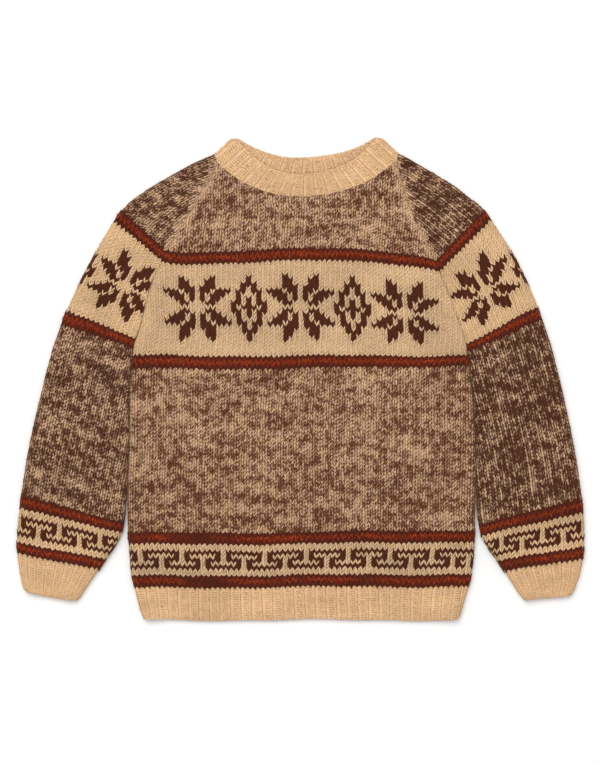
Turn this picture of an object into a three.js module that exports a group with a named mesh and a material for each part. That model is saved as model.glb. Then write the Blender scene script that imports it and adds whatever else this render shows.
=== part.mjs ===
// Fair isle sweater with raglan sleeves, knitted in panels and sewn up, lying flat on its back.
// Millimetres. +Z is up from the surface it lies on, +Y runs from hem to neck, and the wearer's
// left sleeve is at +X. Every panel is a closed wall of knitted cloth. The front lies on the
// back, and the cloth turns round a soft raised fold at the sides and along the sleeves.

import * as THREE from "three";

// ---- Driving dimensions -------------------------------------------------------------------

const CLOTH = 3.0; // thickness of the knitted cloth
const SEAM_GAP = 0.3; // between two pieces at a seam
const SIDE_GAP = 0.6; // between the side of the body and the sleeve that lies beside it
const LAYER_GAP = 1.4; // between the front and the back where one lies on the other
const FOLD_HEIGHT = 12.0; // height of the rounded fold at the sides and sleeves
const FOLD_REACH = 42.0; // how far in from a fold the cloth settles on to the layer below
const SIDE_SEAM_WRAP = 15.0; // how far the left side seam has rolled on to the front
const FRONT_NECK_DROP = 51.0; // dip of the front neckline below its corners
const BACK_NECK_DROP = 29.0; // dip of the back neckline below its corners
const FRONT_RIM_DROP = 56.0; // dip of the neckband's rim at the front, below its tips
const BACK_RIM_DROP = 31.0; // the same at the back
const NECK_ROUNDNESS = 2.4; // exponent of the neckline's curve: 2 is a parabola
const DIP_ONSET = 1.3; // how late the rows start to dip on the way up to the neckline

const LAID_HEIGHT = 2 * CLOTH + LAYER_GAP; // height of the two layers away from the folds

const ARC_STEPS = 8; // points on a section's fold and between its folds
const FLAT_STEPS = 28;
const LEAST_MIDDLE = 10; // least width between the columns that crowd round two folds

// ---- Tables -------------------------------------------------------------------------------

// A table is a list of rows with named columns.
function table(columns, rows) {
  return rows.map((row) => Object.fromEntries(columns.map((name, i) => [name, row[i]])));
}

// The same table with a row more between each two, on a smooth curve through its neighbours.
function smoothed(rows) {
  const between = (i) => {
    const [a, b] = [rows[i], rows[i + 1]];
    const middle = (name) => {
      const before = i > 0 ? rows[i - 1][name] : 2 * a[name] - b[name];
      const after = i + 2 < rows.length ? rows[i + 2][name] : 2 * b[name] - a[name];
      return (9 * (a[name] + b[name]) - before - after) / 16;
    };
    return Object.fromEntries(Object.keys(a).map((name) => [name, middle(name)]));
  };
  return rows.flatMap((row, i) => (i + 1 < rows.length ? [row, between(i)] : [row]));
}

// The raglan seams, from the underarm up to the neck, the same at the front and the back. The
// wearer's right side has negative x. The Fold columns are the top of each sleeve on the same
// row, and `crest` is its height there. `turn` is how far, in degrees, the cloth at the seam
// still turns down as it does round the side.
const RAGLAN = smoothed(
  table(
    [
      ...["rightX", "rightY", "rightFoldX", "rightFoldY"],
      ...["leftX", "leftY", "leftFoldX", "leftFoldY"],
      ...["crest", "turn"],
    ],
    [
      [-245, 52, -349, 88, 245, 45, 353, 95, 12, 90],
      [-236, 74, -332, 125, 240, 63, 340, 126, 12, 58],
      [-223, 129, -311, 168, 223, 108, 320, 168, 12, 24],
      [-202, 176, -271, 237, 202, 165, 275, 241, 11.4, 4],
      [-177, 220, -239, 268, 184, 203, 251, 264, 10.4, 0],
      [-158, 251, -212, 286, 170, 229, 228, 283, 9.4, 0],
      [-147, 273, -186, 300, 157, 261, 203, 299, 8.6, 0],
      [-133, 291, -158, 315, 147, 292, 175, 314, 7.9, 0],
      [-123, 318, -127, 330, 140, 320, 144, 330, LAID_HEIGHT, 0],
    ],
  ),
).map((row) => ({ ...row, turn: Math.max(0, row.turn) }));

// The two sides of the body from the hem up to just below the underarm. `wrap` is the share of
// SIDE_SEAM_WRAP by which the left side seam lies on the front there.
const BODY_SIDES = table(
  ["y", "rightX", "leftX", "wrap"],
  [
    [-355, -231, 235, 0.6],
    [-331, -239, 241, 0.8],
    [-306.5, -245.5, 247.5, 1],
    [-280, -251, 252.5, 1],
    [-231.5, -254, 257, 1],
    [-132, -254, 258, 1],
    [-35, -252, 254, 0.7],
    [15, -249, 249, 0.3],
  ],
);
const HEM_ROWS = 3; // of these rows, the first three are the ribbed hem

// The sleeves from the end of the cuff up to just below the underarm: the inner edge, which
// lies beside the body, and the fold along the outer edge, on the same row of knitting.
const SLEEVE_COLUMNS = ["innerX", "innerY", "outerX", "outerY", "crest"];
const RIGHT_SLEEVE = smoothed(
  table(SLEEVE_COLUMNS, [
    [-327, -327, -406, -313, 10.5],
    [-311, -303, -412, -285, 11],
    [-296, -280, -416, -256, 11.5],
    [-287, -266, -417, -242, 12],
    [-262, -227, -414, -192, 12],
    [-255, -180, -405, -134, 12],
    [-254, -132, -396, -90, 12],
    [-252, -35, -376, 4, 12],
    [-249, 15, -363, 50, 12],
  ]),
);
const LEFT_SLEEVE = smoothed(
  table(SLEEVE_COLUMNS, [
    [328, -328, 400, -318, 10.5],
    [314, -308, 411, -290, 11],
    [299, -284, 416, -265, 11.5],
    [290, -270, 417, -249, 12],
    [266, -232, 415, -200, 12],
    [259, -180, 408, -138, 12],
    [258, -132, 401, -90, 12],
    [254, -35, 379, 4, 12],
    [249, 15, 367, 52, 12],
  ]),
);
const CUFF_ROWS = 5; // of the smoothed rows, the first five are the ribbed cuff

const NECK_TIPS = { right: [-97, 355], left: [113, 355] }; // folds of the neckband's rim

// A point of the plan a share of the way from one point to another.
function mix(from, to, share) {
  return [THREE.MathUtils.lerp(from[0], to[0], share), THREE.MathUtils.lerp(from[1], to[1], share)];
}

// ---- Sections of the laid cloth ------------------------------------------------------------

// One layer of cloth seen end on: points of its outer face, each with its outward direction.
// `across` runs from 0 at end a to `width` at end b. An end turns through `turn` degrees round
// a fold whose full height is `crest`: 90 stops half way round, at the side, and 0 stops flat.
function layerSection(width, a, b, isTop) {
  const up = isTop ? 1 : -1;
  const anglesOf = (end) => {
    const angle = THREE.MathUtils.degToRad(end.turn);
    return Array.from({ length: end.turn > 0 ? ARC_STEPS : 0 }, (_, i) => angle * (1 - i / ARC_STEPS));
  };
  const flatFrom = (a.crest / 2) * Math.sin(THREE.MathUtils.degToRad(a.turn));
  const flatTo = width - (b.crest / 2) * Math.sin(THREE.MathUtils.degToRad(b.turn));
  const points = anglesOf(a).map((angle) => foldPoint(flatFrom, a.crest, angle, -1, up));
  for (let i = 0; i <= FLAT_STEPS; i++) {
    const across = THREE.MathUtils.lerp(flatFrom, flatTo, i / FLAT_STEPS);
    const fromA = settling(across - flatFrom);
    const fromB = settling(flatTo - across);
    const riseA = a.crest - LAID_HEIGHT;
    const riseB = b.crest - LAID_HEIGHT;
    const slope = isTop ? riseA * fromA.slope - riseB * fromB.slope : 0;
    const steepness = Math.hypot(1, slope);
    points.push({
      across,
      z: isTop ? LAID_HEIGHT + riseA * fromA.height + riseB * fromB.height : 0,
      outAcross: -slope / steepness,
      outZ: up / steepness,
    });
  }
  points.push(...anglesOf(b).reverse().map((angle) => foldPoint(flatTo, b.crest, angle, 1, up)));
  return points;
}

// A point on the fold of height `crest` that starts at `from`, after a turn of `angle`.
function foldPoint(from, crest, angle, direction, up) {
  const radius = crest / 2;
  return {
    across: from + direction * radius * Math.sin(angle),
    z: radius + up * radius * Math.cos(angle),
    outAcross: direction * Math.sin(angle),
    outZ: up * Math.cos(angle),
  };
}

// How the cloth sinks from a fold on to the layer below: 1 at the fold and 0 at FOLD_REACH.
function settling(distance) {
  const t = THREE.MathUtils.clamp(distance / FOLD_REACH, 0, 1);
  return { height: (1 - t) * (1 - t) * (1 + 2 * t), slope: (-6 * t * (1 - t)) / FOLD_REACH };
}

function gapBetween(p, q) {
  return Math.hypot(q.across - p.across, q.z - p.z);
}

function lengthOf(points) {
  return points.slice(1).reduce((total, point, i) => total + gapBetween(points[i], point), 0);
}

// The point at a distance along a section.
function pointAt(points, distance) {
  let left = Math.max(0, distance);
  let i = 1;
  while (i < points.length - 1 && left > gapBetween(points[i - 1], points[i])) {
    left -= gapBetween(points[i - 1], points[i]);
    i += 1;
  }
  const [from, to] = [points[i - 1], points[i]];
  const t = Math.min(1, left / gapBetween(from, to));
  const mixed = Object.keys(from).map((key) => [key, THREE.MathUtils.lerp(from[key], to[key], t)]);
  return Object.fromEntries(mixed);
}

// Distances along a section of this length at which the wall gets a column of points: close
// together round the folds at its ends, and even between them.
function columnDistances(length, edges, middleCount) {
  const reach = edges[edges.length - 1];
  const squeeze = Math.min(1, length / (2 * reach + LEAST_MIDDLE));
  const near = edges.map((edge) => edge * squeeze);
  const last = near[near.length - 1];
  const middle = [];
  for (let i = 1; i <= middleCount; i++) {
    middle.push(last + ((length - 2 * last) * i) / (middleCount + 1));
  }
  return [...near, ...middle, ...near.map((edge) => length - edge).reverse()];
}

// The wall at one point of a section, put in its place by a function of across and z.
function wallPoint(point, place) {
  const size = Math.hypot(point.outAcross, point.outZ);
  const innerAcross = point.across - (CLOTH * point.outAcross) / size;
  const innerZ = point.z - (CLOTH * point.outZ) / size;
  return { outer: place(point.across, point.z), inner: place(innerAcross, innerZ) };
}

// ---- Walls ---------------------------------------------------------------------------------

// A closed body from rows of {outer, inner} points. `isRing` joins the last column to the first.
function wallGeometry(rows, isRing = false) {
  const rowCount = rows.length;
  const columnCount = rows[0].length;
  const positions = [];
  for (const face of ["outer", "inner"]) {
    for (const row of rows) {
      for (const point of row) {
        positions.push(...point[face]);
      }
    }
  }
  const index = (face, row, column) =>
    (face * rowCount + row) * columnCount + (column % columnCount);
  const triangles = [];
  const quad = (p, q, r, s) => triangles.push(p, q, r, p, r, s);
  const cells = isRing ? columnCount : columnCount - 1;
  for (let row = 0; row < rowCount - 1; row++) {
    for (let column = 0; column < cells; column++) {
      const next = column + 1;
      quad(index(0, row, column), index(0, row, next), index(0, row + 1, next), index(0, row + 1, column));
      quad(index(1, row, column), index(1, row + 1, column), index(1, row + 1, next), index(1, row, next));
    }
  }
  const top = rowCount - 1;
  for (let column = 0; column < cells; column++) {
    const next = column + 1;
    quad(index(0, 0, column), index(1, 0, column), index(1, 0, next), index(0, 0, next));
    quad(index(0, top, column), index(0, top, next), index(1, top, next), index(1, top, column));
  }
  const end = columnCount - 1;
  for (let row = 0; row < rowCount - 1 && !isRing; row++) {
    quad(index(0, row, 0), index(0, row + 1, 0), index(1, row + 1, 0), index(1, row, 0));
    quad(index(0, row, end), index(1, row, end), index(1, row + 1, end), index(0, row + 1, end));
  }
  const geometry = new THREE.BufferGeometry();
  geometry.setAttribute("position", new THREE.Float32BufferAttribute(positions, 3));
  geometry.setIndex(isInsideOut(positions, triangles) ? triangles.reverse() : triangles);
  geometry.computeVertexNormals();
  return geometry;
}

function isInsideOut(positions, triangles) {
  const corner = (i) => new THREE.Vector3().fromArray(positions, 3 * triangles[i]);
  let volume = 0;
  for (let i = 0; i < triangles.length; i += 3) {
    volume += corner(i).dot(corner(i + 1).cross(corner(i + 2)));
  }
  return volume < 0;
}

// ---- Body ----------------------------------------------------------------------------------

const BODY_EDGES = [0, 3.1, 6.3, 9.4, 20, 40]; // columns near each side, from the side in
const BODY_MIDDLE = 7; // columns between them

// The rows of the body, from the hem to the neckline. `rise` is the share of the neckline's
// dip that a row has.
function bodyRows() {
  const sides = BODY_SIDES.map((row) => ({
    right: [row.rightX, row.y],
    left: [row.leftX, row.y],
    turn: 90,
    wrap: SIDE_SEAM_WRAP * row.wrap,
    rise: 0,
  }));
  const raglan = RAGLAN.map((row, i) => ({
    right: [row.rightX, row.rightY],
    left: [row.leftX, row.leftY],
    turn: row.turn,
    wrap: 0,
    rise: (i / (RAGLAN.length - 1)) ** DIP_ONSET,
  }));
  return [...sides, ...raglan].map((row) => ({ ...row, crest: seamCrest(row.turn) }));
}

// Height of the fold at a body or raglan edge that turns this far.
function seamCrest(turn) {
  return THREE.MathUtils.lerp(LAID_HEIGHT, FOLD_HEIGHT, turn / 90);
}

// How far such an edge stands back from the line that the body and the sleeve share.
function seamInset(turn) {
  return ((SIDE_GAP / 2) * turn) / 90;
}

// How far below its chord a neckline lies, as a share of its depth, `share` of the way across.
function neckCurve(share) {
  return 1 - Math.abs(2 * share - 1) ** NECK_ROUNDNESS;
}

// One row of a body panel. The left side seam lies `wrap` along from the fold on the front.
function bodyRow(row, isFront) {
  const right = [row.right[0] + seamInset(row.turn), row.right[1]];
  const left = [row.left[0] - seamInset(row.turn), row.left[1]];
  const width = Math.hypot(left[0] - right[0], left[1] - right[1]);
  const end = { crest: row.crest, turn: row.turn };
  const frontFace = layerSection(width, end, end, true);
  const frontLength = lengthOf(frontFace);
  const rolled = Array.from({ length: row.wrap > 0 ? ARC_STEPS : 0 }, (_, i) =>
    pointAt(frontFace, frontLength - row.wrap * (1 - i / ARC_STEPS)),
  );
  const backFace = [...rolled, ...layerSection(width, end, end, false).reverse()];
  const face = isFront ? frontFace : backFace;
  const from = SEAM_GAP / 2;
  const to = lengthOf(face) - (isFront ? row.wrap : 0) - SEAM_GAP / 2;
  const drop = (isFront ? FRONT_NECK_DROP : BACK_NECK_DROP) * row.rise;
  const place = (across, z) => {
    const share = THREE.MathUtils.clamp(across / width, 0, 1);
    const [x, y] = mix(right, left, across / width);
    return [x, y - drop * neckCurve(share), z];
  };
  const distances = columnDistances(to - from, BODY_EDGES, BODY_MIDDLE);
  return distances.map((distance) => wallPoint(pointAt(face, from + distance), place));
}

// A row lowered by the gap of the seam above the hem.
function loweredRow(row) {
  const lower = (point) => [point[0], point[1] - SEAM_GAP];
  return { ...row, right: lower(row.right), left: lower(row.left) };
}

function bodyPanel(isFront) {
  return wallGeometry(
    bodyRows()
      .slice(HEM_ROWS - 1)
      .map((row) => bodyRow(row, isFront)),
  );
}

function welt(isFront) {
  const rows = bodyRows().slice(0, HEM_ROWS);
  rows[HEM_ROWS - 1] = loweredRow(rows[HEM_ROWS - 1]);
  return wallGeometry(rows.map((row) => bodyRow(row, isFront)));
}

// ---- Sleeves -------------------------------------------------------------------------------

const SLEEVE_EDGES = [0, 3.1, 6.3, 9.4, 26]; // columns near the seam and near the fold
const SLEEVE_MIDDLE = 0;

function sleeveRows(sleeve, side) {
  const arm = sleeve.map((row) => ({
    inner: [row.innerX, row.innerY],
    outer: [row.outerX, row.outerY],
    turn: 90,
    innerCrest: row.crest,
    outerCrest: row.crest,
  }));
  const shoulder = RAGLAN.map((row) => ({
    inner: [row[`${side}X`], row[`${side}Y`]],
    outer: [row[`${side}FoldX`], row[`${side}FoldY`]],
    turn: row.turn,
    innerCrest: seamCrest(row.turn),
    outerCrest: row.crest,
  }));
  return [...arm, ...shoulder];
}

// One row round a sleeve: from its seam over the top to the outer fold, and back underneath.
function sleeveRow(row) {
  const outward = Math.sign(row.outer[0] - row.inner[0]);
  const inner = [row.inner[0] + outward * seamInset(row.turn), row.inner[1]];
  const width = Math.hypot(row.outer[0] - inner[0], row.outer[1] - inner[1]);
  const seam = { crest: row.innerCrest, turn: row.turn };
  const fold = { crest: row.outerCrest, turn: 90 };
  const over = layerSection(width, seam, fold, true);
  const under = layerSection(width, seam, fold, false).reverse();
  const trim = SEAM_GAP / 2;
  const columnsOf = (face) => columnDistances(lengthOf(face) - trim, SLEEVE_EDGES, SLEEVE_MIDDLE);
  const columns = [
    ...columnsOf(over).map((distance) => pointAt(over, distance + trim)),
    ...columnsOf(under).slice(1).map((distance) => pointAt(under, distance)),
  ];
  const place = (across, z) => [...mix(inner, row.outer, across / width), z];
  return columns.map((point) => wallPoint(point, place));
}

function sleeve(rows) {
  return wallGeometry(rows.slice(CUFF_ROWS - 1).map(sleeveRow));
}

// The cuff ends one seam gap short of the sleeve.
function cuff(rows) {
  const cuffRows = rows.slice(0, CUFF_ROWS);
  const last = cuffRows[CUFF_ROWS - 1];
  const before = cuffRows[CUFF_ROWS - 2];
  const back = (to, from) => mix(to, from, SEAM_GAP / Math.hypot(to[0] - from[0], to[1] - from[1]));
  cuffRows[CUFF_ROWS - 1] = {
    ...last,
    inner: back(last.inner, before.inner),
    outer: back(last.outer, before.outer),
  };
  return wallGeometry(cuffRows.map(sleeveRow));
}

// ---- Neckband ------------------------------------------------------------------------------

const BAND_STEPS = 2; // rows of facets up the neckband
const BAND_FOLD_STEPS = 3; // columns round half of the fold at each tip

// One face of the neckband, from the right tip to the left: its columns, and a function that
// puts a point of its section in its place, `climb` of the way from the neckline to the rim.
function bandFace(isFront) {
  const neck = RAGLAN[RAGLAN.length - 1];
  const neckline = bodyRow(bodyRows().at(-1), isFront).map((point) => point.outer.slice(0, 2));
  const ordered = isFront ? neckline : neckline.reverse();
  const low = [[neck.rightFoldX, neck.rightFoldY], ...ordered, [neck.leftFoldX, neck.leftFoldY]];
  const reached = low.map((_, i) => planLength(low.slice(0, i + 1)));
  const width = reached.at(-1);
  const drop = isFront ? FRONT_RIM_DROP : BACK_RIM_DROP;
  const up = isFront ? 1 : -1;
  const radius = LAID_HEIGHT / 2;
  const quarter = Math.PI / 2;
  const turns = Array.from({ length: BAND_FOLD_STEPS }, (_, i) => quarter * (1 - i / BAND_FOLD_STEPS));
  const columns = [
    ...turns.map((angle) => foldPoint(radius, LAID_HEIGHT, angle, -1, up)),
    ...reached.slice(1, -1).map((across) => foldPoint(across, LAID_HEIGHT, 0, 1, up)),
    ...turns.reverse().map((angle) => foldPoint(width - radius, LAID_HEIGHT, angle, 1, up)),
  ];
  const place = (climb) => (across, z) => {
    const share = THREE.MathUtils.clamp(across / width, 0, 1);
    const [rimX, rimY] = mix(NECK_TIPS.right, NECK_TIPS.left, share);
    const base = planPoint(low, reached, across);
    const rim = [rimX, rimY - drop * neckCurve(share)];
    const seam = SEAM_GAP / Math.hypot(rim[0] - base[0], rim[1] - base[1]);
    return [...mix(base, rim, THREE.MathUtils.lerp(seam, 1, climb)), z];
  };
  return { columns, place };
}

function planLength(path) {
  return path.slice(1).reduce((sum, p, i) => sum + Math.hypot(p[0] - path[i][0], p[1] - path[i][1]), 0);
}

// The point of a path at a distance, given the distance reached at each of its corners.
function planPoint(path, reached, distance) {
  const limit = Math.min(distance, reached.at(-1));
  const next = Math.max(1, reached.findIndex((reach) => reach >= limit));
  const [from, to] = [reached[next - 1], reached[next]];
  return mix(path[next - 1], path[next], (limit - from) / (to - from));
}

// The neckband as rings from the neckline up to its rim, over the front and back underneath.
function neckband() {
  const front = bandFace(true);
  const back = bandFace(false);
  const rings = Array.from({ length: BAND_STEPS + 1 }, (_, step) => [
    ...front.columns.map((point) => wallPoint(point, front.place(step / BAND_STEPS))),
    ...back.columns.slice(1, -1).reverse().map((point) => wallPoint(point, back.place(step / BAND_STEPS))),
  ]);
  return wallGeometry(rings, true);
}

// ---- Colours -------------------------------------------------------------------------------

function wool(colour) {
  return new THREE.MeshStandardMaterial({ color: colour, roughness: 0.95, metalness: 0 });
}

const CREAM = "#d7ad82";
const MARL = "#8f6c53";
const DARK_MARL = "#785744";

// ---- The sweater ---------------------------------------------------------------------------

function piece(name, geometry, colour) {
  const mesh = new THREE.Mesh(geometry, wool(colour));
  mesh.name = name;
  return mesh;
}

const rightSleeveRows = sleeveRows(RIGHT_SLEEVE, "right");
const leftSleeveRows = sleeveRows(LEFT_SLEEVE, "left");

const group = new THREE.Group();
group.name = "sweater";
group.add(
  piece("front", bodyPanel(true), MARL),
  piece("back", bodyPanel(false), MARL),
  piece("front_welt", welt(true), CREAM),
  piece("back_welt", welt(false), CREAM),
  piece("right_sleeve", sleeve(rightSleeveRows), DARK_MARL),
  piece("left_sleeve", sleeve(leftSleeveRows), DARK_MARL),
  piece("right_cuff", cuff(rightSleeveRows), CREAM),
  piece("left_cuff", cuff(leftSleeveRows), CREAM),
  piece("neckband", neckband(), CREAM),
);

export default group;
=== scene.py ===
"""A fair isle sweater with raglan sleeves, lying flat on its back: its stitches, wool and light.

The sweater is knitted in panels and sewn up. Sizes are in millimetres until a mesh is made, and
every mesh is in metres, with +Z up from the surface it lies on and +Y from the hem to the neck.
The wearer's left sleeve is at +X. Each panel is a closed wall of cloth on the form of its solid,
with one face for each leg of each stitch, and a node tree then raises the legs into strands.
"""

import math

import bpy
import numpy as np
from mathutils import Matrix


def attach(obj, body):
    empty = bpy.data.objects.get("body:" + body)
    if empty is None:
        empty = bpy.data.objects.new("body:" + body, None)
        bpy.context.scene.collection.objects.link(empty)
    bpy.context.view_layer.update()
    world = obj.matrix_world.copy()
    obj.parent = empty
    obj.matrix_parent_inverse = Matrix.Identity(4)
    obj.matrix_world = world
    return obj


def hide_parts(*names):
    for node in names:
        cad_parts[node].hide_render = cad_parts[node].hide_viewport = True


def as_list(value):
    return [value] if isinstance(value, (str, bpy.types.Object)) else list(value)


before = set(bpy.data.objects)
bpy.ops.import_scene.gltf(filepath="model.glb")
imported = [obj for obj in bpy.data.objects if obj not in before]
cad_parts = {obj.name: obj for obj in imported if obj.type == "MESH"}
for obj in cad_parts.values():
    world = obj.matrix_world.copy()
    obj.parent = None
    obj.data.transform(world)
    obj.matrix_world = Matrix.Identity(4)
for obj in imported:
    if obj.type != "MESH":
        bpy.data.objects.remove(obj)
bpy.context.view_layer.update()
MM = 0.001

# ---- Driving sizes of the laid cloth, as in the solids ----

CLOTH = 3.0  # thickness of the knitted cloth
SEAM_GAP = 0.3  # between two pieces at a seam
SIDE_GAP = 0.6  # between the side of the body and the sleeve beside it
LAYER_GAP = 1.4  # between the front and the back
FOLD_HEIGHT = 12.0
FOLD_REACH = 42.0  # how far from a fold the cloth settles on to the layer below
SIDE_SEAM_WRAP = 15.0  # how far the left side seam has rolled on to the front
FRONT_NECK_DROP, BACK_NECK_DROP = 51.0, 29.0  # how far the neckline dips
FRONT_RIM_DROP, BACK_RIM_DROP = 56.0, 31.0  # how far the neckband's rim dips
NECK_ROUNDNESS = 2.4  # exponent of these curves
LAID_HEIGHT = 2 * CLOTH + LAYER_GAP

# ---- The knitting ----

HEM_Y = -306.5  # where the ribbed hem ends and the pattern starts
ROW_HEIGHT = 5.374  # one row of the body
SLEEVE_PITCH = 7.7  # width of one stitch on the sleeves
LEG_HEIGHT = 0.95  # how far a strand stands above the valley beside it
RIB_LEG_HEIGHT = 0.65  # the same in the ribs
RIB_RELIEF = 0.25  # how far the columns of the ribs rise and sink
RIB_PROFILE = [1.0, 0.2, 1.0, -1.0]  # that, at each half stitch of a pair of columns
FOLD_SINK = 0.5  # how much less the cloth sinks under its strands on a fold than where it is level
PURL_HEIGHT = 0.36  # how high the bars of a purl column stand, to the legs of a knit one
JITTER, RIB_JITTER = 0.42, 0.26  # how far hand knitting strays from its lattice, as a rule
KNIT_SHARE = 0.6  # how much of a pair of columns in the rib the knit one takes
RIB_CROWDING = 4  # exponent: how late the columns of the hem crowd at its sides
ROW_REACH = 0.16  # how far below its own row, in rows, the middle of a stitch starts
LEG_CLIMB = 0.66  # how far its two legs climb from there to its edges, in rows
RIB_CLIMB = 1.0  # the same in a rib
HEM_ROWS, CUFF_ROWS, BAND_ROWS = 14, 17, 11  # the rows of the ribs are finer
ROW_OVERLAP, BAND_OVERLAP = 0.42, 0.9  # how far stitches reach over the panel below, in rows
LEAST_OVERLAP, OVERLAP_SEED = 0.3, 17  # the least of that, as a share, and how it varies
STRIPE_ROWS = 3
# How far a stripe's thick middle row pushes each of the four edges of its rows, in rows.
STRIPE_PUSH = [0.03, -0.25, 0.3, 0.28]
RUST_HEIGHT = 0.79  # how far above the foot of its row the middle of a rust stripe lies, in rows
FRONT_STITCHES, BACK_STITCHES = 65, 69  # across a body panel, from seam to seam
FRONT_HEM_STITCHES, BACK_HEM_STITCHES = 62, 66
RIGHT_CUFF_STITCHES, LEFT_CUFF_STITCHES = 36, 32  # all round
BAND_FRONT_STITCHES, BAND_BACK_STITCHES = 34, 32
BAND_LIFT = 0.5  # how far the first row of the neckband stands over the body's last
EDGE_DIP = 0.4  # how far the cloth rounds down at its seams and edges
STEEPNESS, RIB_STEEPNESS = 0.9, 2.2  # how much steeper than its own face a strand stands
PURL_TILT = 0.35  # how far the bars of a purl column stray from straight across
LEG_LENGTH, LEG_WIDTH, RIB_LEG_WIDTH = 1.04, 0.32, 0.38  # of a strand's top, in sizes of its face
RAGLAN_REACH, RAGLAN_LIGHT = 11.0, 1.2  # how near a raglan seam stitches are lighter, and how much
SEAM_BEND = 0.06  # within how much of the width the rows bend beside a raglan seam

CREAM, DARK, RUST, MARL = 0.0, 1.0, 2.0, 3.0  # the four yarns
LEFT_LEG, RIGHT_LEG, PURL_BAR = 0, 1, 2  # the kinds of half stitch
NO_STRIPE = -100.0  # the row of a stripe where there is none


def table(text):
    """A table as a dictionary of named columns, from lines of numbers under their names."""
    names, *rows = [line.split() for line in text.strip().splitlines()]
    return dict(zip(names, np.array(rows, float).T))


def smoothed(columns):
    """The same table with a row more between each two, on a smooth curve through its neighbours."""
    wider = {}
    for name, values in columns.items():
        before = np.concatenate([[2 * values[0] - values[1]], values[:-2]])
        after = np.concatenate([values[2:], [2 * values[-1] - values[-2]]])
        middle = (9 * (values[:-1] + values[1:]) - before - after) / 16
        wider[name] = np.empty(2 * len(values) - 1)
        wider[name][0::2] = values
        wider[name][1::2] = middle
    return wider


def joined(first, second):
    """Two tables one after the other, with the columns that both have."""
    return {name: np.concatenate([first[name], second[name]]) for name in first if name in second}


# The raglan seams, from the underarm up to the neck. `bodyRow` and `sleeveRow` are the row of
# knitting there, counted from the top of the rib.
RAGLAN = smoothed(table(f"""
    rightX rightY rightFoldX rightFoldY leftX leftY leftFoldX leftFoldY crest turn bodyRow sleeveRow
    -245 52 -349 88 245 45 353 95 12 90 66 63.5
    -236 74 -332 125 240 63 340 126 12 58 70 69.5
    -223 129 -311 168 223 108 320 168 12 24 79.5 79.5
    -200.5 178.5 -269 239 202 165 275 241 11.4 4 89.5 91.5
    -177 220 -239 268 184 203 251 264 10.4 0 97 100.5
    -158 251 -212 286 170 229 228 283 9.4 0 102.5 106.5
    -147 273 -186 300 157 261 203 299 8.6 0 107.5 111.5
    -133 291 -158 315 147 292 175 314 7.9 0 112.5 117
    -123 318 -127 330 140 320 144 330 {LAID_HEIGHT} 0 117.5 122.5
"""))
RAGLAN["turn"] = np.maximum(RAGLAN["turn"], 0)
NECK = {name: values[-1] for name, values in RAGLAN.items()}  # where the seams meet the neckband

BODY_SIDES = table("""
    y rightX leftX wrap
    -355 -231 235 0.6
    -331 -239 241 0.8
    -306.5 -245.5 247.5 1
    -280 -251 252.5 1
    -231.5 -254 257 1
    -132 -254 258 1
    -35 -252 254 0.7
    15 -249 249 0.3
""")

RIGHT_ARM = smoothed(table("""
    innerX innerY outerX outerY crest row
    -327 -327 -406 -313 10.5 -10.5
    -311 -303 -412 -285 11 -5
    -296 -280 -416 -256 11.5 0
    -287 -266 -417 -242 12 3
    -262 -227 -414 -192 12 11.8
    -255 -180 -405 -134 12 21.6
    -254 -132 -396 -90 12 30.2
    -252 -35 -376 4 12 47.8
    -249 15 -363 50 12 56.8
"""))
LEFT_ARM = smoothed(table("""
    innerX innerY outerX outerY crest row
    328 -328 400 -318 10.5 -10.5
    314 -308 411 -290 11 -5
    299 -284 416 -265 11.5 0
    290 -270 417 -249 12 3
    266 -232 415 -200 12 11.8
    259 -180 408 -138 12 21.6
    258 -132 401 -90 12 30.2
    254 -35 379 4 12 47.8
    249 15 367 52 12 56.8
"""))

NECK_TIPS = np.array([[-98.0, 357.0], [115.0, 357.5]])  # the upper corners of the neckband

# Corners of the laid sweater that are round: the corner, a point along each of its two edges, and
# the radius.
ROUND_CORNERS = table("""
    x y oneX oneY twoX twoY radius
    -98 357 -127 330 -62 319 10
    115 357.5 144 330 79 318 10
    -406 -313 -412 -285 -327 -327 13
    -327 -327 -311 -303 -406 -313 10
    400 -318 411 -290 328 -328 13
    328 -328 314 -308 400 -318 10
    -231 -355 -239 -331 235 -355 9
    235 -355 241 -331 -231 -355 9
""")

# The cloth rises in soft ridges and sinks in troughs along these lines, from one point to
# another: `width` is half of the fold's width, and a trough has a height below 0.
CREASES = table("""
    fromX fromY toX toY width height
    -232 60 -196 168 9 2.6
    -214 40 -182 150 8 -1.1
    -196 60 -168 158 11 1.6
    226 50 198 150 9 2.4
    207 38 182 140 8 -1.1
    188 60 170 150 12 1.7
    -240 30 -120 -20 16 1.6
    238 24 130 -30 17 1.8
    -236 -10 -150 -90 18 1.2
    236 -20 160 -110 19 1.3
    -120 -190 60 -214 22 1.3
    40 -110 190 -160 24 1.2
    -60 -60 70 -40 26 0.9
    -352 20 -300 96 12 1.8
    -372 -60 -300 10 13 1.6
    -330 -120 -280 -170 14 1.5
    -395 -150 -330 -200 14 1.3
    352 30 296 100 12 1.8
    378 -70 300 -6 13 1.6
    330 -130 285 -180 14 1.5
    398 -160 330 -214 14 1.3
    -270 190 -212 226 10 1.4
    268 190 214 222 10 1.4
    -60 214 70 218 14 1.0
""")


# ---- Sections of the laid cloth ----

ARC_STEPS, FLAT_STEPS, NECK_STEPS = 8, 44, 60  # round a fold, between folds, along the neckline


def settling(distance):
    """How the cloth sinks from a fold on to the layer below, and its slope."""
    t = np.clip(distance / FOLD_REACH, 0, 1)
    return (1 - t) ** 2 * (1 + 2 * t), -6 * t * (1 - t) / FOLD_REACH


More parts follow.
